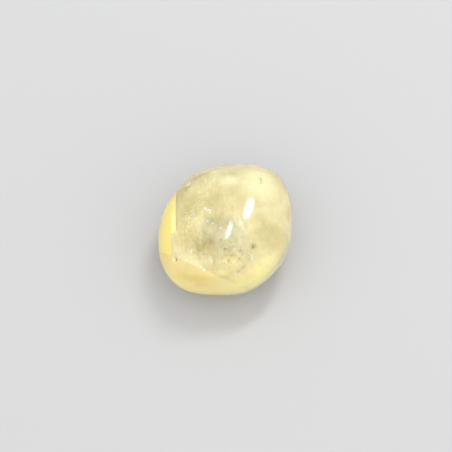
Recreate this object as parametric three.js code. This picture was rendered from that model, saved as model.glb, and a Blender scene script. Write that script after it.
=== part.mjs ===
// A tumbled quartz pebble: one solid stone, an egg-shaped lump that still has the faces it was
// broken along, with every edge and corner worn round. Millimetres, +Z up. The origin is on the
// flat that the stone rests on, under the middle of its outline seen from above.
import * as THREE from 'three';
import { mergeVertices } from 'three/addons/utils/BufferGeometryUtils.js';

// ---- Driving dimensions ----

// Half the length of the egg that the lump was worn towards, along X, Y and Z, in millimetres.
const EGG_HALF_SIZES = new THREE.Vector3(15, 17, 10.5);

// The worn faces. Azimuth is the compass way that a face looks, in degrees from +X towards +Y,
// elevation is how far it looks up, in degrees, and distance is how far its plane lies from the
// middle of the egg, in millimetres.
const WORN_FACES = [
  { name: 'top', azimuth: 225, elevation: 80, distance: 9.5 },
  { name: 'underside', azimuth: 0, elevation: -90, distance: 9.5 },
  { name: 'left side', azimuth: 170, elevation: 0, distance: 14.0 },
  { name: 'back left side', azimuth: 140, elevation: 20, distance: 13.0 },
  { name: 'back', azimuth: 90, elevation: 30, distance: 14.5 },
  { name: 'back end', azimuth: 90, elevation: 0, distance: 15.0 },
  { name: 'right side', azimuth: 355, elevation: 0, distance: 14.0 },
  { name: 'front right side', azimuth: 320, elevation: -20, distance: 13.5 },
  { name: 'front', azimuth: 275, elevation: -30, distance: 14.5 },
  { name: 'front end', azimuth: 270, elevation: 0, distance: 15.0 },
  { name: 'right shoulder', azimuth: 0, elevation: 45, distance: 12.5 },
  { name: 'left shoulder', azimuth: 190, elevation: 40, distance: 12.5 },
  { name: 'front brow', azimuth: 285, elevation: 40, distance: 13.5 },
  { name: 'back brow', azimuth: 105, elevation: 50, distance: 12.5 },
  { name: 'right under-bevel', azimuth: 15, elevation: -50, distance: 12.0 },
  { name: 'left under-bevel', azimuth: 195, elevation: -55, distance: 11.5 },
  { name: 'front under-bevel', azimuth: 260, elevation: -55, distance: 12.5 },
  { name: 'back under-bevel', azimuth: 75, elevation: -45, distance: 13.5 },
];

const EDGE_SHARPNESS = 10; // no unit; higher leaves the edges between the faces crisper
const RESTING_DEPTH = 9; // mm from the middle of the egg down to the flat it rests on
const EDGE_SPLITS = 15; // how many times each edge of the starting icosahedron is divided

const QUARTZ_COLOUR = '#eee0a5';
const QUARTZ_ROUGHNESS = 0.12;

// ---- The stone's surface ----

/** The outward unit normal of a worn face. */
function faceNormal({ azimuth, elevation }) {
  const turn = THREE.MathUtils.degToRad(azimuth);
  const lift = THREE.MathUtils.degToRad(elevation);
  return new THREE.Vector3(
    Math.cos(lift) * Math.cos(turn),
    Math.cos(lift) * Math.sin(turn),
    Math.sin(lift),
  );
}

const FACES = WORN_FACES.map((face) => ({ normal: faceNormal(face), distance: face.distance }));

/**
 * How far the stone reaches from its middle along a unit direction. The egg adds
 * (length of direction / half sizes) ^ sharpness, each face that the direction looks towards
 * adds (direction . normal / distance) ^ sharpness, and the reach is the sum to the power of
 * -1 / sharpness. Well inside a face its own term rules, which gives the face's plane, and
 * near an edge the terms blend, which rounds it.
 */
function wornReach(direction) {
  let sum = direction.clone().divide(EGG_HALF_SIZES).length() ** EDGE_SHARPNESS;
  for (const { normal, distance } of FACES) {
    sum += Math.max(0, direction.dot(normal) / distance) ** EDGE_SHARPNESS;
  }
  return sum ** (-1 / EDGE_SHARPNESS);
}

/** The reach to the surface, cut off flat at the plane that the stone rests on. */
function stoneReach(direction) {
  const reach = wornReach(direction);
  return direction.z < 0 ? Math.min(reach, RESTING_DEPTH / -direction.z) : reach;
}

// ---- The solid ----

/** A closed ball of near-equal triangles with each corner moved out to the stone's surface. */
function stoneGeometry() {
  const ball = new THREE.IcosahedronGeometry(1, EDGE_SPLITS);
  ball.deleteAttribute('normal');
  ball.deleteAttribute('uv');
  const geometry = mergeVertices(ball);

  const corners = geometry.attributes.position;
  const corner = new THREE.Vector3();
  for (let i = 0; i < corners.count; i += 1) {
    corner.fromBufferAttribute(corners, i).normalize();
    corner.multiplyScalar(stoneReach(corner));
    corners.setXYZ(i, corner.x, corner.y, corner.z);
  }

  geometry.computeBoundingBox();
  const middle = geometry.boundingBox.getCenter(new THREE.Vector3());
  geometry.translate(-middle.x, -middle.y, -geometry.boundingBox.min.z);
  geometry.computeVertexNormals();
  return geometry;
}

const quartz = new THREE.MeshStandardMaterial({
  color: QUARTZ_COLOUR,
  roughness: QUARTZ_ROUGHNESS,
  metalness: 0,
});

const stone = new THREE.Mesh(stoneGeometry(), quartz);
stone.name = 'stone';

const pebble = new THREE.Group();
pebble.add(stone);

export default pebble;
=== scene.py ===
"""The looks of a tumbled yellow quartz pebble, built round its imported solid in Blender 4.5."""

import math

import bpy
import numpy as np
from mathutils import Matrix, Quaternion, Vector


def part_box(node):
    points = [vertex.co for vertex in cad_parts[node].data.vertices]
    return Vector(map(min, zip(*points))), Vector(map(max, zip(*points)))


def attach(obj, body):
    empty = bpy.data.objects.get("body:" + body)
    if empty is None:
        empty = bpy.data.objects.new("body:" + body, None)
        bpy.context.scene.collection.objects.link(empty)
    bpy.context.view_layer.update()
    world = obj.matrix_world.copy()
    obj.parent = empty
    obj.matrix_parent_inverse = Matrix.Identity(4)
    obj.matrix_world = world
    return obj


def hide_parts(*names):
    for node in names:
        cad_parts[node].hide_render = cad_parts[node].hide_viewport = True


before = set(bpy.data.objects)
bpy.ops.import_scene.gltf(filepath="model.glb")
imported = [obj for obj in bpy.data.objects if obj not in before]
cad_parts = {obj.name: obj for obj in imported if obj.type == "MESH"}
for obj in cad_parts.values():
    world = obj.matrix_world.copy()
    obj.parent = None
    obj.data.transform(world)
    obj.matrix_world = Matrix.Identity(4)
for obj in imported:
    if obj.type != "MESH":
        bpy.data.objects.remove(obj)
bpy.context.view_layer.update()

bl_info = {
    "name": "Tumbled quartz pebble",
    "version": (1, 0, 0),
    "blender": (4, 5, 0),
    "location": "View3D > Sidebar > Pebble",
    "description": "Builds a polished, cloudy yellow quartz pebble and a plain studio round it",
    "category": "Add Mesh",
}

MM = 0.001  # one millimetre in Blender's metres
STONE_NODE = "stone"
BODY = "root"

# ---- The stone's own places and sizes ----

# The worn faces of the stone: the way each looks (azimuth from +X towards +Y and elevation, in
# degrees) and how far its plane lies from the middle of the egg (mm).
WORN_FACES = (
    ("top", 225, 80, 9.5),
    ("underside", 0, -90, 9.5),
    ("left side", 170, 0, 14.0),
    ("back left side", 140, 20, 13.0),
    ("back", 90, 30, 14.5),
    ("back end", 90, 0, 15.0),
    ("right side", 355, 0, 14.0),
    ("front right side", 320, -20, 13.5),
    ("front", 275, -30, 14.5),
    ("front end", 270, 0, 15.0),
    ("right shoulder", 0, 45, 12.5),
    ("left shoulder", 190, 40, 12.5),
    ("front brow", 285, 40, 13.5),
    ("back brow", 105, 50, 12.5),
    ("right under-bevel", 15, -50, 12.0),
    ("left under-bevel", 195, -55, 11.5),
    ("front under-bevel", 260, -55, 12.5),
    ("back under-bevel", 75, -45, 13.5),
)

# Shallow dents left in the polish: the way from the middle of the stone (azimuth and elevation,
# in degrees), how wide the dent is and how deep (mm).
DENTS = (
    ("left pit", 223, 17, 0.8, 0.22),
)

# Small marks in the skin. Each is a stroke: where its two ends show in the camera's picture,
# 452 pixels square (pixels right and down), and its radius (mm). mark_ends finds the ends on the
# stone itself.

# Painted glints: white flecks that paint the light caught by small cracks and edges, the painted
# highlight on the lit rim of the pit and a painted flare spot.
PAINTED_GLINTS = (
    ("edge glint", (188.0, 185.0), (189.5, 184.0), 0.34),
    ("edge glint, right", (189.5, 184.0), (193.0, 181.5), 0.14),
    ("edge glint, tail", (178.5, 189.5), (186.5, 185.5), 0.12),
    ("double glint, left", (205.0, 208.0), (205.5, 209.0), 0.18),
    ("double glint, right", (208.0, 210.0), (210.0, 210.5), 0.20),
    ("double glint, tail", (209.5, 211.0), (209.5, 212.5), 0.12),
    ("low glint, left", (207.5, 221.0), (207.5, 221.5), 0.20),
    ("low glint, right", (212.5, 223.5), (213.0, 223.0), 0.16),
    ("lowest glint", (220.5, 228.5), (221.5, 227.5), 0.18),
    ("left glint", (191.0, 252.0), (191.5, 250.5), 0.19),
    ("left glint, small", (188.5, 251.0), (188.5, 250.5), 0.12),
    ("boundary glint, left", (200.5, 266.5), (201.5, 267.5), 0.19),
    ("boundary glint, right", (203.5, 269.5), (204.0, 270.0), 0.21),
    ("tiny glint, middle", (234.5, 205.0), (235.0, 205.5), 0.04),
    ("tiny glint, right", (259.5, 223.0), (260.0, 223.0), 0.05),
    ("tiny glint, far right", (267.0, 223.5), (267.0, 224.0), 0.04),
    ("tiny glint, upper left", (199.0, 200.5), (199.5, 201.0), 0.04),
    ("tiny glint, upper left, second", (203.0, 202.0), (203.5, 201.5), 0.05),
    ("back dash", (248.5, 187.0), (251.5, 187.0), 0.13),
    # painted highlight on the lit side of the pit
    ("rim of the pit", (174.0, 259.5), (174.5, 260.5), 0.11),
    ("fine line", (252.0, 255.0), (252.5, 260.5), 0.13),
    # painted flare of light reflected inside the stone
    ("flare spot", (243.0, 227.0), (243.5, 227.5), 0.12),
)

# Dark specks of clay or iron in the skin, and the painted shade on the shaded side of the pit, given
# the same way.
DARK_SPECKS_AND_PAINTED_PIT_SHADE = (
    # painted shade on the shaded side of the pit
    ("shade of the pit", (176.0, 259.5), (176.0, 260.0), 0.18),
    ("cluster, middle", (253.0, 246.5), (253.0, 248.0), 0.15),
    ("cluster, top left", (252.0, 244.0), (252.5, 245.5), 0.04),
    ("cluster, top right", (253.5, 246.0), (255.0, 244.5), 0.03),
    ("cluster, right", (254.0, 247.0), (256.5, 246.5), 0.0),
)

# Grey-green specks in the skin, fainter than the dark ones, given the same way.
GREY_SPECKS = (
    ("lone speck", (255.5, 233.0), (255.5, 232.5), 0.06),
    ("green dash", (261.0, 178.5), (260.5, 183.5), 0.02),
    ("fleck below the middle, a", (224.5, 248.5), (225.5, 250.0), 0.07),
    ("fleck below the middle, b", (233.0, 255.0), (231.0, 256.0), 0.07),
    ("fleck below the middle, c", (229.0, 260.0), (228.0, 261.0), 0.10),
    ("fleck below the middle, d", (240.0, 251.0), (241.0, 250.0), 0.07),
    ("fleck below the middle, e", (244.5, 267.0), (242.5, 268.0), 0.07),
    ("fleck below the middle, f", (238.5, 271.5), (238.0, 272.5), 0.07),
    ("fleck below the middle, g", (225.5, 255.5), (227.0, 255.5), 0.05),
    ("fleck below the middle, h", (238.0, 259.0), (239.0, 258.5), 0.10),
    ("fleck below the middle, i", (221.0, 239.0), (221.5, 241.0), 0.06),
    ("smudge fleck a", (198.0, 247.5), (199.0, 251.0), 0.06),
    ("smudge fleck b", (204.5, 232.5), (205.5, 234.0), 0.03),
    ("smudge fleck c", (211.0, 241.5), (212.0, 243.0), 0.05),
    ("smudge fleck d", (204.5, 254.0), (205.5, 255.5), 0.03),
    ("smudge fleck e", (202.5, 241.5), (203.5, 245.0), 0.03),
    ("smudge fleck f", (193.5, 239.0), (194.0, 241.5), 0.05),
)

# Pale wisps, fine cracks seen side on, and the arms of a painted flare of light reflected inside the
# stone, given the same way.
WISPS_AND_PAINTED_FLARE = (
    # painted flare of light reflected inside the stone
    ("flare, left arm", (234.5, 216.5), (237.0, 224.5), 0.12),
    ("flare, right arm", (238.5, 216.5), (241.5, 222.5), 0.12),
    ("flare, right arm, low", (241.5, 222.5), (244.0, 229.5), 0.18),
    ("fine line, upper", (251.0, 241.0), (251.5, 246.0), 0.03),
    ("line to the front right", (254.5, 261.5), (259.5, 279.5), 0.02),
)

# Brownish stains along the back left edge and in the left smudge, given the same way.
STAINS = (
    ("edge, left", (185.5, 190.0), (195.5, 179.0), 0.10),
    ("edge, middle", (195.5, 179.0), (205.5, 173.0), 0.15),
    ("edge, right", (205.5, 173.0), (215.5, 169.0), 0.08),
    ("smudge, stem", (197.0, 240.5), (198.0, 250.0), 0.14),
    ("smudge, foot", (198.0, 250.0), (199.5, 258.0), 0.08),
    ("smudge, first branch", (202.0, 251.0), (205.5, 242.5), 0.05),
    ("smudge, second branch", (208.0, 246.5), (210.5, 240.0), 0.02),
)

# Clouds and smudges in the skin: centre and radii (mm), the shade and its strength.
PATCHES = (
    ("clear window, left", (-6.5, -0.5, 16.5), (6.5, 9.0, 5.0), "olive", 0.08),
    ("cream shoulder, back right", (7.0, 6.0, 16.0), (8.5, 9.5, 9.0), "cream", 1.0),
    ("pale middle, back", (0.6, 5.8, 18.0), (5.0, 3.6, 2.6), "cream", 0.75),
    ("white cloud, back", (1.5, 5.7, 18.0), (2.6, 1.8, 1.8), "milk", 0.75),
    ("pale middle, left", (-3.2, -5.0, 17.2), (2.6, 3.2, 2.0), "cream", 0.45),
    ("pale left, low", (-8.2, -6.6, 15.4), (2.8, 3.0, 2.4), "cream", 0.35),
    # painted glow: lighter honey patches for the light that passes through the stone and comes out
    # low at the front
    ("pale middle, above the band", (-0.5, -12.6, 13.8), (3.2, 2.2, 2.2), "painted_glow_honey", 0.75),
    ("milky patch, back left", (-2.0, 9.2, 16.2), (1.6, 1.2, 1.4), "milk", 0.9),
    ("warm corner, front right", (6.4, -12.6, 10.2), (9.0, 7.0, 9.5), "painted_glow_honey", 1.0),
    ("pale middle, front", (1.4, -11.2, 14.9), (6.2, 4.4, 4.4), "painted_glow_honey", 0.66),
    ("bright corner, front", (3.0, -13.4, 10.8), (6.5, 4.2, 7.0), "painted_glow_honey", 0.9),
    ("tan shade, left", (-7.8, -4.6, 15.6), (3.8, 6.4, 3.8), "deep_honey", 0.62),
    ("golden patch, back left", (-8.4, 5.2, 15.7), (2.0, 3.6, 2.2), "amber", 0.45),
    ("olive smudge, left", (-5.4, -8.0, 16.2), (2.0, 4.2, 2.6), "amber", 0.30),
    ("olive smudge, upper", (-4.4, -7.6, 16.4), (2.8, 3.8, 2.4), "olive", 0.54),
    ("grey specks, middle", (0.9, -9.6, 16.2), (3.4, 4.0, 2.8), "olive", 0.05),
    ("grey specks, low", (3.0, -12.0, 14.0), (2.0, 1.5, 1.8), "olive", 0.2),
    ("halo of the dark cluster", (5.4, -8.1, 16.4), (1.1, 1.3, 1.2), "olive", 0.9),
    ("green halo, back right", (7.0, 6.6, 16.7), (0.7, 1.6, 1.1), "olive", 0.7),
    # painted flare of light reflected inside the stone, in cream and milk
    ("flare, middle", (2.9, -3.9, 17.9), (1.3, 2.1, 1.1), "cream", 0.6),
    ("flare, low left", (-2.8, -10.9, 15.6), (0.9, 1.2, 1.1), "milk", 0.9),
    ("dust, middle", (1.2, -9.8, 16.0), (5.0, 5.8, 4.2), "dust", 1.0),
    ("dust, dark cluster", (5.4, -8.1, 16.4), (1.4, 1.6, 1.4), "dust", 0.9),
    ("dust, left smudge", (-4.9, -8.2, 16.2), (2.6, 3.8, 2.4), "dust", 0.95),
    ("dust, left", (-7.0, -1.5, 16.6), (3.4, 6.4, 3.0), "dust", 0.8),
    ("dust, back left", (-4.0, 3.0, 17.5), (5.0, 4.6, 3.0), "dust", 0.35),
)

MARKS = {
    # painted glints
    "white": PAINTED_GLINTS,
    "dark": DARK_SPECKS_AND_PAINTED_PIT_SHADE,
    "grey": GREY_SPECKS,
    "wisp": WISPS_AND_PAINTED_FLARE,
    "stain": STAINS,
}
# The patches' shades, in the order in which they are laid. Dust is no colour of its own: it says
# where threads and grains of dust lie.
SHADES = ("cream", "painted_glow_honey", "deep_honey", "olive", "amber", "milk", "dust")
SPECKLED = ("olive", "amber", "milk")  # these shades lie in the stone as fine specks

# The flat boundaries in the stone: the way each faces (azimuth and elevation, degrees) and its
# offset from the origin (mm).
LEFT_BOUNDARY = ((0, 4), -8.8)
LEFT_STEP = (-4.0, 1.2)  # in front of this y, the left boundary lies so much further out (mm)
LOWER_BOUNDARY = ((64, 24), -6.0)

# Stretches over which the looks change: from one place to another along X, Y or Z (mm).
STREAKS_FADE_X = (-3.0, 5.0)  # the fine streaks thin out
# painted glow: the band is painted paler where light that passes through the stone comes out
BAND_PALES_Z = (12.5, 7.5)  # the band past the lower boundary turns paler downwards
BAND_PALES_RIGHT_X = (-1.0, 4.0)  # and towards its right end
BAND_PALES_LEFT_X = (-7.5, -11.0)  # and, less, towards its left end
BAND_DEEPENS_X = (0.0, -6.0)  # its colour deepens leftwards
BAND_CLEARS_Z = (4.0, 10.0)  # its clouds thin out upwards
BAND_STRENGTHENS_Z = (3.0, 10.0)  # it shows more plainly upwards
# painted inner reflection: the bright zone on the left stands for light reflected inside the stone
ZONE_APPEARS_Z = (4.5, 10.0)  # the bright zone past the left boundary appears upwards
ZONE_FADES_Y = (2.5, 8.5)  # and fades towards the back
ZONE_WARMS_Y = (-1.0, 2.5)  # its lemon colour turns to apricot
ZONE_PALES_Z = (12.5, 8.5)  # it turns to honey downwards

# ---- The picture and the studio ----

# Where the camera looks (mm), and its lens: the stone's outline is then about 130 pixels wide in
# a picture 452 pixels wide, at 0.2 mm to the pixel.
AIM = (0.1, 0.5, 9.3)
PICTURE_WIDTH = 452
PIXEL_SIZE = 0.2
SENSOR_WIDTH = 36.0
CAMERA_CLIP = (0.01, 20.0)  # m; the nearest and farthest that it sees

# Lamps: the way from the stone (azimuth and elevation, degrees), how far the lamp is turned round
# that way (degrees), width and height (m), how bright its face is, and its colour.
LAMPS = (
    ("key", (56.0, 62.5), -16.2, (0.072, 0.270), 23.0, (1.0, 0.99, 0.97)),
    ("fill", (124.0, 80.0), -21.0, (0.016, 0.098), 21.0, (0.60, 0.81, 1.0)),
)
LAMP_DISTANCE = 0.55  # m
FRONT = (274, 22)  # where the room is brightest: azimuth and elevation, degrees
ROOM_GROWS = (-0.4, 1.0)  # cosines to that way between which the room's light grows
FLOOR_HALF_SIZE = 3000.0  # mm

# ---- Sizes of steps and limits ----

LARGEST_REACH = 20.0  # mm; the stone reaches less far than this from its middle
HALVINGS = 30  # enough to place a mark's end far finer than the mesh
FARTHEST = 3.0  # mm; past this, how far a mark is makes no difference
ROUGH_SPLITS = 48  # a ball coarser than the stone's own, enough to find its middle
SAME_POINT_DIGITS = 7  # directions that agree to so many decimals are one point
LEAST_DROP = 1e-6  # taken for directions that don't look down, so that none divides by zero
RIPPLE_SEED = 11
RIPPLE_WAVES = 14
RIPPLE_LENGTHS = (5.0, 16.0)  # mm
RIPPLE_FULL_LENGTH = 10.0  # mm; a longer wave is higher in proportion, a shorter one lower


def srgb(red, green, blue):
    """A colour given as on screen, 0 to 255 a channel, as the linear colour that Blender mixes."""
    channels = np.array([red, green, blue]) / 255.0
    linear = np.where(channels <= 0.04045, channels / 12.92, ((channels + 0.055) / 1.055) ** 2.4)
    return plain(linear)


def unit(azimuth, elevation):
    """The unit vector that looks along an azimuth and an elevation given in degrees."""
    turn, lift = np.radians(azimuth), np.radians(elevation)
    return np.stack(
        [np.cos(lift) * np.cos(turn), np.cos(lift) * np.sin(turn), np.sin(lift) + 0 * turn], axis=-1
    )


def plain(numbers):
    """Numbers as a tuple, the form in which Blender's sockets take them."""
    return tuple(float(number) for number in numbers)


# ---- What a user would change ----


class PebbleShape(bpy.types.PropertyGroup):
    """The stone's own sizes."""

    egg: bpy.props.FloatVectorProperty(
        name="Egg half sizes",
        description="Half the length of the egg that the lump was worn towards",
        default=(0.0150, 0.0170, 0.0105),
        subtype="XYZ_LENGTH",
        unit="LENGTH",
        precision=5,
    )
    sharpness: bpy.props.FloatProperty(
        name="Edge sharpness",
        description="Higher leaves the edges between the worn faces crisper",
        default=10.0,
    )
    resting_depth: bpy.props.FloatProperty(
        name="Resting depth",
        description="From the middle of the egg down to the flat it rests on",
        default=0.0090,
        unit="LENGTH",
        precision=5,
    )
    ripple: bpy.props.FloatProperty(
        name="Ripple",
        description="Height of the gentle waves that tumbling leaves in the polish",
        default=0.000035,
        unit="LENGTH",
        precision=6,
    )
    splits: bpy.props.IntProperty(
        name="Splits",
        description="How many squares each side of the six-patch ball has",
        default=118,
    )


class QuartzLook(bpy.types.PropertyGroup):
    """Colours of the quartz."""

    straw: bpy.props.FloatVectorProperty(
        name="Straw",
        description="Main colour of the cloudy stone",
        default=srgb(225, 214, 153),
        subtype="COLOR",
    )
    cream: bpy.props.FloatVectorProperty(
        name="Cream",
        description="Milky parts, mostly at the back right",
        default=srgb(243, 235, 191),
        subtype="COLOR",
    )
    milk: bpy.props.FloatVectorProperty(
        name="Milk",
        description="The whitest clouds and the fine pale streaks",
        default=srgb(255, 251, 222),
        subtype="COLOR",
    )
    olive: bpy.props.FloatVectorProperty(
        name="Olive",
        description="Clearer, greyer parts and smudges",
        default=srgb(195, 187, 114),
        subtype="COLOR",
    )
    amber: bpy.props.FloatVectorProperty(
        name="Amber",
        description="Brownish stains",
        default=srgb(192, 173, 88),
        subtype="COLOR",
    )
    deep_honey: bpy.props.FloatVectorProperty(
        name="Deep honey",
        description="The left part of the smooth band along the front",
        default=srgb(206, 186, 106),
        subtype="COLOR",
    )
    honey: bpy.props.FloatVectorProperty(
        name="Honey",
        description="The smooth band along the front, past the lower boundary",
        default=srgb(230, 218, 158),
        subtype="COLOR",
    )
    # painted glow of the light that passes through the stone and comes out low at the front
    painted_glow_honey: bpy.props.FloatVectorProperty(
        name="Pale honey",
        description="The lower, lighter part of that band",
        default=srgb(255, 238, 159),
        subtype="COLOR",
    )
    # lemon and apricot paint the inner reflection in the bright zone on the left
    lemon: bpy.props.FloatVectorProperty(
        name="Lemon",
        description="The bright zone on the left side",
        default=srgb(255, 242, 162),
        subtype="COLOR",
    )
    apricot: bpy.props.FloatVectorProperty(
        name="Apricot",
        description="The outer, warmer part of the bright zone on the left side",
        default=srgb(255, 227, 126),
        subtype="COLOR",
    )
    # also the colour of the painted shade in the pit
    clay: bpy.props.FloatVectorProperty(
        name="Clay",
        description="Dark specks of clay or iron",
        default=srgb(78, 68, 36),
        subtype="COLOR",
    )
    moss: bpy.props.FloatVectorProperty(
        name="Moss",
        description="Grey-green specks, finer than the dark ones",
        default=srgb(132, 126, 70),
        subtype="COLOR",
    )
    # the colour of the painted glints
    glint: bpy.props.FloatVectorProperty(
        name="Glint",
        description="The white flecks",
        default=srgb(255, 255, 252),
        subtype="COLOR",
    )
    absorbed: bpy.props.FloatVectorProperty(
        name="Body tint",
        description="Colour that clear quartz of this thickness lets through",
        default=srgb(250, 236, 170),
        subtype="COLOR",
    )


class StudioStage(bpy.types.PropertyGroup):
    """The camera, the floor and the lamps."""

    elevation: bpy.props.FloatProperty(
        name="Camera elevation",
        description="How steeply the camera looks down",
        default=math.radians(60.0),
        subtype="ANGLE",
    )
    distance: bpy.props.FloatProperty(
        name="Camera distance",
        description="From the camera to the point it looks at",
        default=0.77,
        unit="LENGTH",
    )
    floor_colour: bpy.props.FloatVectorProperty(
        name="Floor colour",
        description="Plain pale floor",
        default=srgb(172, 172, 173),
        subtype="COLOR",
    )
    front: bpy.props.FloatProperty(
        name="Front light",
        description="How much stronger the soft light is from low in front",
        default=0.93,
    )
    sky: bpy.props.FloatProperty(
        name="Room light",
        description="Strength of the soft light from all round",
        default=0.98,
    )


# ---- The stone's shape ----


def ball_directions(splits):
    """Directions and squares of a ball made of six patches.

    Each patch is a square grid of two parameters a and b from -45 to 45 degrees. Its points are
    (side, tan a, tan b) on one face of a cube, scaled to length 1. The edges where patches meet
    are merged, so the ball is closed and has no poles.
    """
    steps = np.tan(np.linspace(-math.pi / 4, math.pi / 4, splits + 1))
    a, b = (grid.ravel() for grid in np.meshgrid(steps, steps, indexing="ij"))
    corner = np.arange((splits + 1) ** 2).reshape(splits + 1, splits + 1)
    square = np.stack(
        [corner[:-1, :-1], corner[1:, :-1], corner[1:, 1:], corner[:-1, 1:]], axis=-1
    ).reshape(-1, 4)
    points, squares = [], []
    for axis in range(3):
        for side in (1.0, -1.0):
            patch = np.empty((a.size, 3))
            patch[:, axis] = side
            patch[:, (axis + 1) % 3] = a
            patch[:, (axis + 2) % 3] = b
            points.append(patch)
            squares.append((square if side > 0 else square[:, ::-1]) + a.size * len(squares))
    points, squares = np.concatenate(points), np.concatenate(squares)
    points /= np.linalg.norm(points, axis=1, keepdims=True)
    _, first, merged = np.unique(
        np.round(points, SAME_POINT_DIGITS), axis=0, return_index=True, return_inverse=True
    )
    return points[first], merged.reshape(-1)[squares]


def worn_reach(directions, shape):
    """How far the stone reaches from its middle along each unit direction (mm).

    The egg adds (length of direction / half sizes) ^ sharpness, each worn face that the
    direction looks towards adds (direction . normal / distance) ^ sharpness, and the reach is
    the sum to the power of -1 / sharpness.
    """
    azimuth, elevation, distance = (
        np.array(column, float) for column in list(zip(*WORN_FACES))[1:]
    )
    power = shape.sharpness
    towards = np.maximum(0.0, directions @ unit(azimuth, elevation).T / distance)
    egg = np.linalg.norm(directions / (np.array(shape.egg) / MM), axis=1)
    return ((towards**power).sum(axis=1) + egg**power) ** (-1.0 / power)


def ripples(points, height):
    """Gentle unevenness of a tumbled surface: height * root of the number of waves * the mean of
    cosine(2 pi (point . way) / length + phase) * length / full length. Each wave's way, length
    and phase are drawn at random from a fixed seed."""
    draw = np.random.default_rng(RIPPLE_SEED)
    ways = draw.normal(size=(RIPPLE_WAVES, 3))
    ways /= np.linalg.norm(ways, axis=1, keepdims=True)
    lengths = draw.uniform(*RIPPLE_LENGTHS, RIPPLE_WAVES)
    phases = draw.uniform(0.0, 2 * math.pi, RIPPLE_WAVES)
    waves = np.cos(2 * math.pi * (points @ ways.T) / lengths + phases)
    swell = waves * (lengths / RIPPLE_FULL_LENGTH)
    return height * swell.mean(axis=1) * math.sqrt(RIPPLE_WAVES)


def dent_depth(directions, reach):
    """How far the dents lower the surface: the sum of depth * exp(-(distance / half width)^2),
    where distance is measured across the surface from each dent's middle (mm)."""
    depth = np.zeros(len(directions))
    for _, azimuth, elevation, width, deep in DENTS:
        across = np.linalg.norm(directions - unit(azimuth, elevation), axis=1) * reach
        depth += deep * np.exp(-((across / (width / 2)) ** 2))
    return depth


def stone_surface(directions, shape):
    """Points of the stone's skin (mm, round the middle of the egg): direction * (worn reach
    + ripples - dents), cut off level at the resting depth."""
    reach = worn_reach(directions, shape)
    smooth = directions * reach[:, None]
    reach = reach + ripples(smooth, shape.ripple / MM) - dent_depth(directions, reach)
    down = np.maximum(LEAST_DROP, -directions[:, 2])
    reach = np.minimum(reach, shape.resting_depth / MM / down)
    return directions * reach[:, None]


def middle_of_stone(shape):
    """Where the middle of the egg lies in the frame (mm): over the middle of the CAD box."""
    directions, _ = ball_directions(ROUGH_SPLITS)
    points = directions * worn_reach(directions, shape)[:, None]
    low, high = points.min(axis=0), points.max(axis=0)
    box_low, box_high = (np.array(corner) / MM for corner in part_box(STONE_NODE))
    middle = (box_low + box_high) / 2 - (low + high) / 2
    middle[2] = box_low[2] + shape.resting_depth / MM
    return middle


def mark_ends(marks, shape, studio):
    """Where the two ends of each mark lie on the stone (mm).

    A line runs from the camera through the end's place in the picture. The end is the first
    spot on that line that is no farther from the stone's middle than the stone reaches that
    way, found by halving the stretch between a spot outside and a spot inside.
    """
    right = np.array([1.0, 0.0, 0.0])
    up = np.array([0.0, math.sin(studio.elevation), math.cos(studio.elevation)])
    back = np.array([0.0, -math.cos(studio.elevation), math.sin(studio.elevation)])
    far = studio.distance / MM
    picked = np.array([ends for _, *ends, _ in marks]).reshape(-1, 2) - PICTURE_WIDTH / 2
    ways = picked[:, :1] * right - picked[:, 1:] * up - far / PIXEL_SIZE * back
    ways /= np.linalg.norm(ways, axis=1, keepdims=True)
    middle = middle_of_stone(shape)
    camera = np.array(AIM) + far * back - middle
    inside = -(ways @ camera)  # how far along the line it passes nearest to the middle
    outside = inside - LARGEST_REACH
    for _ in range(HALVINGS):
        half = (inside + outside) / 2
        spots = camera + half[:, None] * ways
        away = np.linalg.norm(spots, axis=1)
        buried = away < worn_reach(spots / away[:, None], shape)
        inside, outside = np.where(buried, half, inside), np.where(buried, outside, half)
    return (camera + inside[:, None] * ways + middle).reshape(-1, 2, 3)


def distance_to_marks(points, marks, ends):
    """How far each point is from the nearest mark: the distance to the nearest spot of the line
    between the mark's ends, less the mark's radius (mm)."""
    nearest = np.full(len(points), FARTHEST)
    for (*_, radius), (start, end) in zip(marks, ends):
        along = end - start
        share = np.clip((points - start) @ along / (along @ along), 0.0, 1.0)
        away = np.linalg.norm(points - start - np.outer(share, along), axis=1) - radius
        nearest = np.minimum(nearest, away)
    return nearest


def patch_strength(points, shade):
    """How strong a shade is at each point: the greatest strength * (1 - 3 r^2 + 2 r^3) of its
    patches, where r is the length of (point - centre) / radii, and no more than 1."""
    strength = np.zeros(len(points))
    for _, centre, radii, its_shade, most in PATCHES:
        if its_shade == shade:
            r = np.minimum(1.0, np.linalg.norm((points - centre) / np.array(radii), axis=1))
            strength = np.maximum(strength, most * (1 - 3 * r**2 + 2 * r**3))
    return strength


def add_attribute(piece, name, values):
    """Stores one number a corner point in the mesh, for the material to read."""
    attribute = piece.data.attributes.new(name, "FLOAT", "POINT")
    attribute.data.foreach_set("value", values.astype(np.float32))


def mesh_piece(name, points, faces, smooth=True):
    """Puts points (mm) and faces of equal size into a new mesh object at the origin."""
    mesh = bpy.data.meshes.new(name)
    sides = faces.shape[1]
    mesh.vertices.add(len(points))
    mesh.vertices.foreach_set("co", (points * MM).astype(np.float32).ravel())
    mesh.loops.add(faces.size)
    mesh.loops.foreach_set("vertex_index", faces.astype(np.int32).ravel())
    mesh.polygons.add(len(faces))
    mesh.polygons.foreach_set("loop_start", np.arange(0, faces.size, sides, dtype=np.int32))
    mesh.polygons.foreach_set("use_smooth", np.full(len(faces), smooth))
    mesh.update(calc_edges=True)
    mesh.validate()
    piece = bpy.data.objects.new(name, mesh)
    bpy.context.scene.collection.objects.link(piece)
    return piece


# ---- Node recipes ----


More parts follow.
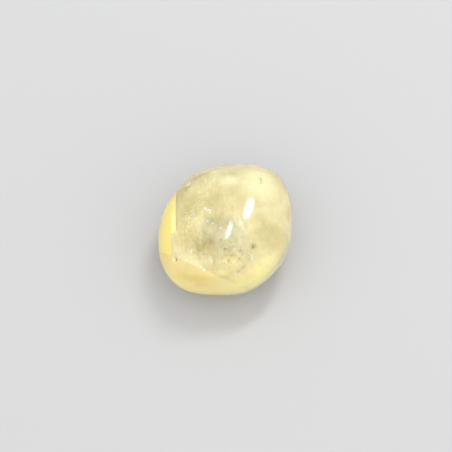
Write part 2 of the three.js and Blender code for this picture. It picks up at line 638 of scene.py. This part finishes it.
class Recipe:
    """A material's nodes, with short calls for the patterns that this stone needs.

    A pattern's place is measured in millimetres in the stone's own frame.
    """

    def __init__(self, name):
        self.material = bpy.data.materials.new(name)
        self.material.use_nodes = True
        self.tree = self.material.node_tree
        self.tree.nodes.clear()
        self.shader = self.add("ShaderNodeBsdfPrincipled")
        self.output = self.add("ShaderNodeOutputMaterial")
        self.link(self.shader.outputs["BSDF"], self.output.inputs["Surface"])
        coordinates = self.add("ShaderNodeTexCoord")
        mapping = self.add("ShaderNodeMapping")
        mapping.inputs["Scale"].default_value = (1 / MM,) * 3
        self.link(coordinates.outputs["Object"], mapping.inputs["Vector"])
        self.place = mapping.outputs["Vector"]

    def add(self, kind, **settings):
        """Adds a node with the given settings."""
        node = self.tree.nodes.new(kind)
        for key, value in settings.items():
            setattr(node, key, value)
        return node

    def link(self, source, target):
        """Joins an output socket to an input socket."""
        self.tree.links.new(source, target)

    def feed(self, target, source):
        """Links a socket, or sets it where the source is a plain number or colour."""
        if isinstance(source, bpy.types.NodeSocket):
            self.link(source, target)
        elif target.type == "RGBA" and len(source) == 3:
            target.default_value = (*source, 1.0)
        else:
            target.default_value = source

    def math(self, operation, *sources):
        """One sum on numbers."""
        node = self.add("ShaderNodeMath", operation=operation)
        for socket, source in zip(node.inputs, sources):
            self.feed(socket, source)
        return node.outputs[0]

    def vector(self, operation, *sources):
        """One sum on vectors."""
        node = self.add("ShaderNodeVectorMath", operation=operation)
        for socket, source in zip(node.inputs, sources):
            self.feed(socket, source)
        return node.outputs["Value" if operation == "DOT_PRODUCT" else "Vector"]

    def between(self, value, low, high, to_low=0.0, to_high=1.0):
        """Runs smoothly from to_low to to_high as the value goes from low to high."""
        node = self.add("ShaderNodeMapRange", interpolation_type="SMOOTHSTEP")
        for socket, source in zip(node.inputs[:5], (value, low, high, to_low, to_high)):
            self.feed(socket, source)
        return node.outputs["Result"]

    def blend(self, share, first, second):
        """Mixes two colours: the first where the share is 0, the second where it is 1."""
        node = self.add("ShaderNodeMix", data_type="RGBA")
        self.feed(node.inputs["Factor"], share)
        self.feed(node.inputs[6], first)
        self.feed(node.inputs[7], second)
        return node.outputs[2]

    def stretched(self, place, turn, scale):
        """The same place, turned (degrees) and scaled, so that a pattern on it is drawn out."""
        node = self.add("ShaderNodeMapping")
        self.link(place, node.inputs["Vector"])
        node.inputs["Rotation"].default_value = [math.radians(angle) for angle in turn]
        node.inputs["Scale"].default_value = scale
        return node.outputs["Vector"]

    def noise(self, size, place=None, detail=3.0, roughness=0.55, colour=False):
        """Cloudy noise whose lumps are about so many millimetres across."""
        node = self.add("ShaderNodeTexNoise")
        self.link(place or self.place, node.inputs["Vector"])
        node.inputs["Scale"].default_value = 1.0 / size
        node.inputs["Detail"].default_value = detail
        node.inputs["Roughness"].default_value = roughness
        return node.outputs["Color" if colour else "Fac"]

    def push(self, size):
        """Noise that runs from about -1 to 1 each way, to push a place about with."""
        noise = self.noise(size, detail=2.0, colour=True)
        return self.vector("MULTIPLY_ADD", noise, (2.0,) * 3, (-1.0,) * 3)

    def warped(self, push, amount):
        """The place pushed about by an amount (mm)."""
        return self.vector("MULTIPLY_ADD", push, (amount,) * 3, self.place)

    def attribute(self, name):
        """A number that the mesh holds at each point."""
        return self.add("ShaderNodeAttribute", attribute_name=name).outputs["Fac"]

    def times(self, first, *others):
        """Multiplies two numbers or more."""
        for other in others:
            first = self.math("MULTIPLY", first, other)
        return first


class QuartzRecipe(Recipe):
    """The nodes of cloudy, polished yellow quartz: what its layers share, and the layers.

    Each method whose name starts with "with" lays one layer over the colour that it is given.
    """

    def __init__(self, look):
        super().__init__("quartz")
        self.look = look
        self.broad_push = self.push(3.0)
        self.fine = self.warped(self.push(0.6), 0.25)
        along = self.add("ShaderNodeSeparateXYZ")
        self.link(self.place, along.inputs[0])
        self.x, self.y, self.z = along.outputs
        clouds = self.noise(6.0, self.warped(self.broad_push, 1.0), detail=2.0, roughness=0.38)
        self.clouds = self.between(clouds, 0.24, 0.77)
        self.mottle = self.noise(0.45, self.fine, detail=2.0)
        self.broken = self.between(self.mottle, 0.2, 0.6, 0.6, 1.0)
        self.web = self.noise(1.0, self.fine, detail=4.0, roughness=0.6)
        self.height = self.side_of(LOWER_BOUNDARY, 0.22)
        self.lower = self.between(self.height, -0.16, 0.16, 1.0, 0.0)
        self.above = self.math("SUBTRACT", 1.0, self.lower)
        self.milky = [self.times(self.clouds, 0.5), self.lower]  # what makes the quartz milky

    def side_of(self, boundary, unevenness):
        """How far a place lies on the side that a boundary faces, the boundary being uneven (mm)."""
        facing, offset = boundary
        uneven = self.warped(self.broad_push, unevenness)
        return self.math(
            "SUBTRACT", self.vector("DOT_PRODUCT", uneven, plain(unit(*facing))), offset
        )

    def with_patches(self, colour):
        """The patch of each shade, broken up, and a faint web all over."""
        speckled = self.between(self.mottle, 0.40, 0.60, 0.35, 1.0)
        for shade in SHADES[:-1]:
            texture = speckled if shade in SPECKLED else self.broken
            strength = self.times(self.attribute(shade), texture)
            colour = self.blend(strength, colour, getattr(self.look, shade))
        for low, high, most, shade in (
            (0.52, 0.68, 0.09, self.look.olive),
            (0.48, 0.34, 0.15, self.look.milk),
        ):
            colour = self.blend(self.between(self.web, low, high, 0.0, most), colour, shade)
        pale = self.math("MAXIMUM", self.attribute("cream"), self.attribute("painted_glow_honey"))
        self.milky.append(self.times(pale, 0.8))
        return colour

    def with_streaks(self, colour):
        """Fine streaks, plainest on the left."""
        drawn_out = self.stretched(self.fine, turn=(0, 0, -12), scale=(1.0, 0.22, 0.45))
        streaks = self.noise(0.55, drawn_out, detail=3.0)
        feathery = self.between(self.x, *STREAKS_FADE_X, 0.42, 0.08)
        for low, high, shade in ((0.50, 0.72, self.look.olive), (0.46, 0.28, self.look.milk)):
            strength = self.times(self.between(streaks, low, high), feathery)
            colour = self.blend(strength, colour, shade)
        return colour

    def with_band_and_painted_glow(self, colour):
        """The smooth band past the lower boundary, painted paler downwards and towards its ends for
        the glow of light that passes through the stone, with a thin pale lip above the boundary and
        a thin dull one below it."""
        look = self.look
        # painted glow of light that passes through the stone
        paler = self.between(self.z, *BAND_PALES_Z, 0.0, 0.8)
        for stretch, most in ((BAND_PALES_RIGHT_X, 0.9), (BAND_PALES_LEFT_X, 0.45)):
            towards_end = self.between(self.x, *stretch, 0.0, most)
            paler = self.math("MAXIMUM", paler, towards_end)
        leftward = self.between(self.x, *BAND_DEEPENS_X)
        band = self.blend(leftward, look.honey, look.deep_honey)
        band = self.blend(paler, band, look.painted_glow_honey)
        cloudy = self.between(self.z, *BAND_CLEARS_Z, 0.5, 0.15)
        band = self.blend(self.times(self.clouds, cloudy), band, look.cream)
        plainness = self.between(self.z, *BAND_STRENGTHENS_Z, 0.08, 0.88)
        colour = self.blend(self.times(self.lower, plainness), colour, band)
        for side, most, shade in ((1.0, 0.13, look.milk), (-1.0, 0.10, look.olive)):
            away = self.times(self.height, side)
            lip = self.times(
                self.between(away, 0.0, 0.10), self.between(away, 0.1, 0.45, 1.0, 0.0)
            )
            colour = self.blend(self.times(lip, self.broken, plainness, most), colour, shade)
        return colour

    def with_painted_inner_reflection(self, colour):
        """The painted inner reflection: a bright zone past the left boundary, which fades out down
        the side and to the back.
        """
        look = self.look
        out = self.times(self.side_of(LEFT_BOUNDARY, 0.03), -1.0)
        step_at, step = LEFT_STEP
        behind = self.between(self.y, step_at - 0.6, step_at + 0.4)
        uneven = self.math("MULTIPLY_ADD", self.clouds, 3.0, self.z)
        fade = self.times(
            self.between(uneven, *ZONE_APPEARS_Z), self.between(self.y, *ZONE_FADES_Y, 1.0, 0.0)
        )
        outer = self.between(out, step - 0.40, step + 0.08)
        strip = self.times(self.between(out, -0.06, 0.06), behind)
        left = self.times(self.math("MAXIMUM", outer, strip), fade, self.above)
        lemony = self.between(self.y, *ZONE_WARMS_Y, 1.0, 0.1)
        # painted inner reflection
        zone = self.blend(lemony, look.apricot, look.lemon)
        zone = self.blend(outer, zone, look.apricot)
        zone = self.blend(self.between(self.z, *ZONE_PALES_Z), zone, look.honey)
        beside = self.times(
            self.between(out, -0.9, 0.0), behind, self.broken, fade, self.above, 0.45
        )
        colour = self.blend(beside, colour, look.olive)
        self.milky.append(left)
        return self.blend(left, colour, zone)

    def with_dust(self, colour):
        """Threads and grains of dust, thickest in the dusty patches and near the grey specks."""
        look = self.look
        lumps = self.between(self.noise(1.3, self.fine, detail=1.0), 0.40, 0.58, 0.35, 1.0)
        dusty = self.times(
            self.math("MAXIMUM", self.attribute("dust"), 0.08), lumps, self.above
        )
        for level, shade in ((0.53, look.amber), (0.44, look.milk)):
            off = self.math("ABSOLUTE", self.math("SUBTRACT", self.web, level))
            thread = self.between(off, 0.004, 0.030, 1.0, 0.0)
            colour = self.blend(self.times(thread, dusty, 0.9), colour, shade)
        cells = self.add("ShaderNodeTexVoronoi", feature="F1")
        cells.inputs["Scale"].default_value = 1 / 0.26
        drawn_out = self.stretched(self.fine, turn=(0, 0, 20), scale=(1.0, 0.6, 0.8))
        self.link(drawn_out, cells.inputs["Vector"])
        kinds = self.add("ShaderNodeSeparateColor")
        self.link(cells.outputs["Color"], kinds.inputs[0])
        kind = kinds.outputs[0]
        grain = self.between(cells.outputs["Distance"], 0.10, 0.34, 1.0, 0.0)
        near_specks = self.between(self.attribute("grey"), 0.0, 0.8, 1.0, 0.0)
        darker = self.math("MULTIPLY_ADD", near_specks, 0.45, kind)
        thick = self.math("MAXIMUM", dusty, near_specks)
        for value, low, high, shade in (
            (darker, 0.50, 0.80, look.moss),
            (kind, 0.45, 0.15, look.milk),
        ):
            strength = self.times(grain, self.between(value, low, high), thick)
            colour = self.blend(strength, colour, shade)
        return colour

    def with_marks(self, colour):
        """The small marks with ragged edges. For each kind: how far its colour reaches past its
        edge (mm), its strength and its shade."""
        look = self.look
        ragged = self.math("MULTIPLY_ADD", self.noise(0.24, self.fine, detail=1.0), 0.56, -0.28)
        for name, reach, most, shade in (
            ("stain", 0.70, 0.42, look.amber),
            # pale wisps, and the painted flare
            ("wisp", 0.26, 0.50, look.milk),
            ("grey", 0.30, 0.34, look.moss),
            # dark specks, and the painted shade in the pit
            ("dark", 0.16, 0.70, look.clay),
            # painted glints, where light is caught
            ("white", 0.06, 1.00, look.glint),
        ):
            away = self.math("ADD", self.attribute(name), ragged)
            colour = self.blend(self.between(away, -0.04, reach, most, 0.0), colour, shade)
        return colour

    def polish(self, colour):
        """Quartz of this colour, clearer where it is less milky, under a clear polish."""
        shader = self.shader.inputs
        self.feed(shader["Base Color"], colour)
        milky, *others = self.milky
        for zone in others:
            milky = self.math("MAXIMUM", milky, zone)
        self.feed(shader["Transmission Weight"], self.between(milky, 0.0, 1.0, 0.56, 0.30))
        self.feed(shader["Roughness"], self.between(self.mottle, 0.3, 0.7, 0.11, 0.16))
        shader["IOR"].default_value = 1.54
        shader["Subsurface Weight"].default_value = 1.0
        shader["Subsurface Radius"].default_value = (1.0, 0.8, 0.42)
        shader["Subsurface Scale"].default_value = 6.0 * MM
        shader["Coat Weight"].default_value = 0.38
        shader["Coat Roughness"].default_value = 0.06
        shader["Coat IOR"].default_value = 1.54

        bump = self.add("ShaderNodeBump")
        bump.inputs["Strength"].default_value = 0.12
        bump.inputs["Distance"].default_value = 0.02 * MM
        self.link(self.noise(0.8, detail=1.0), bump.inputs["Height"])
        self.link(bump.outputs["Normal"], shader["Normal"])

        absorption = self.add("ShaderNodeVolumeAbsorption")
        absorption.inputs["Color"].default_value = (*self.look.absorbed, 1.0)
        absorption.inputs["Density"].default_value = 20.0
        self.link(absorption.outputs["Volume"], self.output.inputs["Volume"])


def quartz_material(look):
    """Cloudy, polished yellow quartz: clouds, then the layers over them, then the polish."""
    recipe = QuartzRecipe(look)
    colour = recipe.blend(recipe.clouds, look.straw, look.cream)
    colour = recipe.with_patches(colour)
    colour = recipe.with_streaks(colour)
    colour = recipe.with_band_and_painted_glow(colour)
    colour = recipe.with_painted_inner_reflection(colour)
    colour = recipe.with_dust(colour)
    colour = recipe.with_marks(colour)
    recipe.polish(colour)
    return recipe.material


# ---- Operators ----


class PEBBLE_OT_stone(bpy.types.Operator):
    """Makes the polished stone in place of its faceted solid"""

    bl_idname = "pebble.stone"
    bl_label = "Quartz stone"

    def execute(self, context):
        scene = context.scene
        directions, squares = ball_directions(scene.pebble_shape.splits)
        points = stone_surface(directions, scene.pebble_shape)
        points = points + middle_of_stone(scene.pebble_shape)
        stone = mesh_piece("quartz_stone", points, squares)
        for name, marks in MARKS.items():
            ends = mark_ends(marks, scene.pebble_shape, scene.pebble_studio)
            add_attribute(stone, name, distance_to_marks(points, marks, ends))
        for shade in SHADES:
            add_attribute(stone, shade, patch_strength(points, shade))
        stone.data.materials.append(quartz_material(scene.pebble_look))
        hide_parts(STONE_NODE)
        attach(stone, BODY)
        return {"FINISHED"}


class PEBBLE_OT_stage(bpy.types.Operator):
    """Makes the camera, the plain pale floor and the soft lamps"""

    bl_idname = "pebble.stage"
    bl_label = "Studio stage"

    def execute(self, context):
        scene = context.scene
        studio = scene.pebble_studio
        self.make_camera(scene, studio)
        self.make_floor(studio)
        for lamp in LAMPS:
            self.make_lamp(*lamp)
        world = self.make_room(studio)
        scene.world = world
        scene.view_settings.view_transform = "Standard"
        return {"FINISHED"}

    @staticmethod
    def make_room(studio):
        """Soft light from all round that grows smoothly towards the front."""
        world = bpy.data.worlds.new("room")
        world.use_nodes = True
        tree = world.node_tree
        background = tree.nodes["Background"]
        background.inputs["Color"].default_value = (1.0, 1.0, 1.0, 1.0)
        coordinates = tree.nodes.new("ShaderNodeTexCoord")
        towards = tree.nodes.new("ShaderNodeVectorMath")
        towards.operation = "DOT_PRODUCT"
        towards.inputs[1].default_value = plain(unit(*FRONT))
        level = tree.nodes.new("ShaderNodeMapRange")
        level.interpolation_type = "SMOOTHSTEP"
        level.inputs["From Min"].default_value = ROOM_GROWS[0]
        level.inputs["From Max"].default_value = ROOM_GROWS[1]
        level.inputs["To Min"].default_value = studio.sky
        level.inputs["To Max"].default_value = studio.sky + studio.front
        tree.links.new(coordinates.outputs["Generated"], towards.inputs[0])
        tree.links.new(towards.outputs["Value"], level.inputs["Value"])
        tree.links.new(level.outputs["Result"], background.inputs["Strength"])
        return world

    @staticmethod
    def make_camera(scene, studio):
        """A camera in front of the stone that looks down at it from the studio's elevation."""
        data = bpy.data.cameras.new("camera")
        data.sensor_width = SENSOR_WIDTH
        pixels = studio.distance / (PIXEL_SIZE * MM)
        data.lens = pixels / PICTURE_WIDTH * SENSOR_WIDTH
        camera = bpy.data.objects.new("camera", data)
        back = Vector((0.0, -math.cos(studio.elevation), math.sin(studio.elevation)))
        camera.location = Vector(AIM) * MM + back * studio.distance
        camera.rotation_euler = (math.pi / 2 - studio.elevation, 0.0, 0.0)
        data.clip_start, data.clip_end = CAMERA_CLIP
        scene.collection.objects.link(camera)
        scene.camera = camera

    @staticmethod
    def make_floor(studio):
        """A plain, dull floor, level with the flat that the stone rests on."""
        half = FLOOR_HALF_SIZE
        corners = np.array([(-half, -half, 0), (half, -half, 0), (half, half, 0), (-half, half, 0)])
        floor = mesh_piece("floor", corners, np.array([(0, 1, 2, 3)]), smooth=False)
        recipe = Recipe("floor")
        recipe.feed(recipe.shader.inputs["Base Color"], tuple(studio.floor_colour))
        recipe.shader.inputs["Roughness"].default_value = 0.9
        floor.data.materials.append(recipe.material)

    @staticmethod
    def make_lamp(name, direction, turn, size, brightness, colour):
        """An elliptical lamp that faces the stone; its power is brightness * pi * its area."""
        data = bpy.data.lights.new(name, "AREA")
        data.shape = "ELLIPSE"
        data.size, data.size_y = size
        data.energy = brightness * math.pi * (math.pi / 4 * size[0] * size[1])
        data.color = colour
        lamp = bpy.data.objects.new(name, data)
        way = Vector(plain(unit(*direction)))
        lamp.location = Vector(AIM) * MM + way * LAMP_DISTANCE
        lamp.rotation_mode = "QUATERNION"
        lamp.rotation_quaternion = way.to_track_quat("Z", "Y") @ Quaternion(
            (0.0, 0.0, 1.0), math.radians(turn)
        )
        bpy.context.scene.collection.objects.link(lamp)


class PEBBLE_PT_panel(bpy.types.Panel):
    """Lists the steps that build the pebble"""

    bl_idname = "PEBBLE_PT_panel"
    bl_label = "Tumbled quartz pebble"
    bl_space_type = "VIEW_3D"
    bl_region_type = "UI"
    bl_category = "Pebble"

    def draw(self, context):
        for group in ("pebble_shape", "pebble_look", "pebble_studio"):
            settings = getattr(context.scene, group)
            box = self.layout.box()
            for name in settings.bl_rna.properties.keys():
                if name not in ("rna_type", "name"):
                    box.prop(settings, name)
        for operator in OPERATORS:
            self.layout.operator(operator.bl_idname)


OPERATORS = (PEBBLE_OT_stone, PEBBLE_OT_stage)
GROUPS = {"pebble_shape": PebbleShape, "pebble_look": QuartzLook, "pebble_studio": StudioStage}


def register():
    """Makes the settings, the operators and the panel known to Blender."""
    for group in GROUPS.values():
        bpy.utils.register_class(group)
    for name, group in GROUPS.items():
        setattr(bpy.types.Scene, name, bpy.props.PointerProperty(type=group))
    for operator in OPERATORS:
        bpy.utils.register_class(operator)
    bpy.utils.register_class(PEBBLE_PT_panel)


def unregister():
    """Takes away what register added."""
    bpy.utils.unregister_class(PEBBLE_PT_panel)
    for operator in reversed(OPERATORS):
        bpy.utils.unregister_class(operator)
    for name, group in GROUPS.items():
        delattr(bpy.types.Scene, name)
        bpy.utils.unregister_class(group)


def main():
    """Builds the stone and its stage."""
    register()
    bpy.ops.pebble.stone()
    bpy.ops.pebble.stage()


if __name__ == "__main__":
    main()
